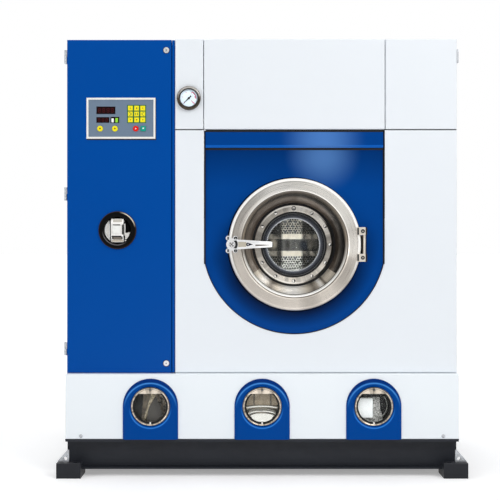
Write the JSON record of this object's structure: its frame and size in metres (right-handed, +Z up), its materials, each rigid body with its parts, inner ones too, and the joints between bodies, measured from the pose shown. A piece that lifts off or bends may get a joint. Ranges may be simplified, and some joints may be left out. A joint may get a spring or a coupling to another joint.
{
  "type": "dry cleaning machine",
  "caption": "Closed dry cleaning machine: white cabinet on a channel base, blue control door, recessed loading door with a window and lever handle, and sight windows in its lower casing.",
  "frame": {"origin": "on the floor, midway between the four anchor holes of the feet", "axes": "+X to the right of someone who faces the front, +Y from the front to the rear, +Z up"},
  "size_m": [1.7, 1.228, 1.83],
  "materials": {
    "white_paint": "satin",
    "blue_paint": "gloss",
    "base_paint": "satin",
    "frame_paint": "satin",
    "satin_steel": "brushed",
    "zinc_steel": "satin",
    "chrome": "polished",
    "clear_glass": "clear",
    "black_rubber": "matte",
    "black_plastic": "gloss",
    "panel_paint": "satin",
    "white_plastic": "gloss",
    "dark_red_plastic": "gloss",
    "keypad_rubber": "matte",
    "yellow_plastic": "gloss",
    "red_plastic": "gloss",
    "teal_plastic": "gloss",
    "dial_white": "matte",
    "needle_black": "matte",
    "machine_paint": "satin",
    "grey_cast": "rough"
  },
  "bodies": {
    "cabinet": {"base_frame": "base_paint", "feet": "base_paint", "lashing_lugs": "zinc_steel", "lower_casing": "white_paint", "sight_surrounds": "blue_paint", "sight_rings": "satin_steel", "sight_glasses": "clear_glass", "solvent_tanks": "satin_steel", "panel_fasteners": "zinc_steel", "cabinet_frame": "frame_paint", "side_panels": "white_paint", "top_panel": "white_paint", "rear_panel": "white_paint", "gauge_panel": "white_paint", "header_panel": "white_paint", "corner_panel": "white_paint", "front_panel": "white_paint", "door_surround": "blue_paint", "door_lintel": "blue_paint", "control_cabinet": "blue_paint", "electrical_gear": "frame_paint", "gauge_case": "chrome", "gauge_dial": "dial_white", "outer_tub": "satin_steel", "door_seal": "black_rubber", "bearing_housing": "grey_cast", "door_hinge_and_catch": "satin_steel", "cabinet_hinge_leaves": "zinc_steel", "drive_motor": "machine_paint", "drive_belt": "black_rubber", "solvent_pump": "machine_paint", "still": "satin_steel", "air_duct": "zinc_steel"},
    "gauge_pointer": {"gauge_needle": "needle_black"},
    "motor_rotor": {"motor_pulley": "grey_cast"},
    "drum": {"drum_cage": "satin_steel", "drum_back": "satin_steel", "drum_shaft_and_pulley": "grey_cast"},
    "control_door": {"control_door": "blue_paint", "door_hinge_leaves": "zinc_steel", "panel_frame": "white_plastic", "control_plate": "panel_paint", "display_windows": "dark_red_plastic", "keypad": "keypad_rubber", "latch_bezel": "black_plastic"},
    "latch": {"latch_lever": "chrome"},
    "upper_lock": {"lock_upper": "zinc_steel"},
    "lower_lock": {"lock_lower": "zinc_steel"},
    "left_yellow_button": {"button_yellow_left": "yellow_plastic"},
    "right_yellow_button": {"button_yellow_right": "yellow_plastic"},
    "red_button": {"button_red": "red_plastic"},
    "teal_button": {"button_teal": "teal_plastic"},
    "loading_door": {"door_ring": "satin_steel", "window_flange": "satin_steel", "window_gaskets": "black_rubber", "window_screws": "zinc_steel", "door_glass": "clear_glass", "door_hinge_knuckles": "satin_steel", "handle_bracket": "chrome"},
    "handle": {"handle_lever": "chrome"}
  },
  "joints": [
    {"name": "control_door_hinge", "type": "hinge", "parent": "cabinet", "child": "control_door", "pos_m": [-0.826, -0.517, 1.128], "axis": [0, 0, -1], "range_deg": [0, 110]},
    {"name": "latch_lever_hinge", "type": "hinge", "parent": "control_door", "child": "latch", "pos_m": [-0.607, -0.521, 1.064], "axis": [-1, 0, 0], "range_deg": [0, 35], "stiffness_Nm_per_rad": 0.6, "springref_deg": -17.19},
    {"name": "upper_lock_turn", "type": "hinge", "parent": "control_door", "child": "upper_lock", "pos_m": [-0.402, -0.52, 1.782], "axis": [0, -1, 0], "range_deg": [0, 90]},
    {"name": "lower_lock_turn", "type": "hinge", "parent": "control_door", "child": "lower_lock", "pos_m": [-0.402, -0.52, 0.467], "axis": [0, -1, 0], "range_deg": [0, 90]},
    {"name": "left_yellow_button_press", "type": "slide", "parent": "control_door", "child": "left_yellow_button", "axis": [0, 1, 0], "range_m": [0, 0.002], "stiffness_N_per_m": 300, "springref_m": -0.002},
    {"name": "right_yellow_button_press", "type": "slide", "parent": "control_door", "child": "right_yellow_button", "axis": [0, 1, 0], "range_m": [0, 0.002], "stiffness_N_per_m": 300, "springref_m": -0.002},
    {"name": "red_button_press", "type": "slide", "parent": "control_door", "child": "red_button", "axis": [0, 1, 0], "range_m": [0, 0.002], "stiffness_N_per_m": 300, "springref_m": -0.002},
    {"name": "teal_button_press", "type": "slide", "parent": "control_door", "child": "teal_button", "axis": [0, 1, 0], "range_m": [0, 0.002], "stiffness_N_per_m": 300, "springref_m": -0.002},
    {"name": "loading_door_hinge", "type": "hinge", "parent": "cabinet", "child": "loading_door", "pos_m": [0.427, -0.56, 0.966], "axis": [0, 0, 1], "range_deg": [0, 115]},
    {"name": "handle_turn", "type": "hinge", "parent": "loading_door", "child": "handle", "pos_m": [-0.126, -0.6, 0.966], "axis": [0, 1, 0], "range_deg": [0, 90]},
    {"name": "drum_spin", "type": "hinge", "parent": "cabinet", "child": "drum", "pos_m": [0.136, 0, 0.966], "axis": [0, 1, 0], "continuous": true},
    {"name": "motor_spin", "type": "hinge", "parent": "cabinet", "child": "motor_rotor", "pos_m": [0.6, 0.2, 0.265], "axis": [0, 1, 0], "continuous": true},
    {"name": "gauge_needle_turn", "type": "hinge", "parent": "cabinet", "child": "gauge_pointer", "pos_m": [-0.307, -0.53, 1.58], "axis": [0, 1, 0], "range_deg": [0, 270], "stiffness_Nm_per_rad": 0.01, "springref_deg": -11.46}
  ],
  "couplings": [
    {"joint": "motor_spin", "follows": "drum_spin", "ratio": 4.4}
  ]
}
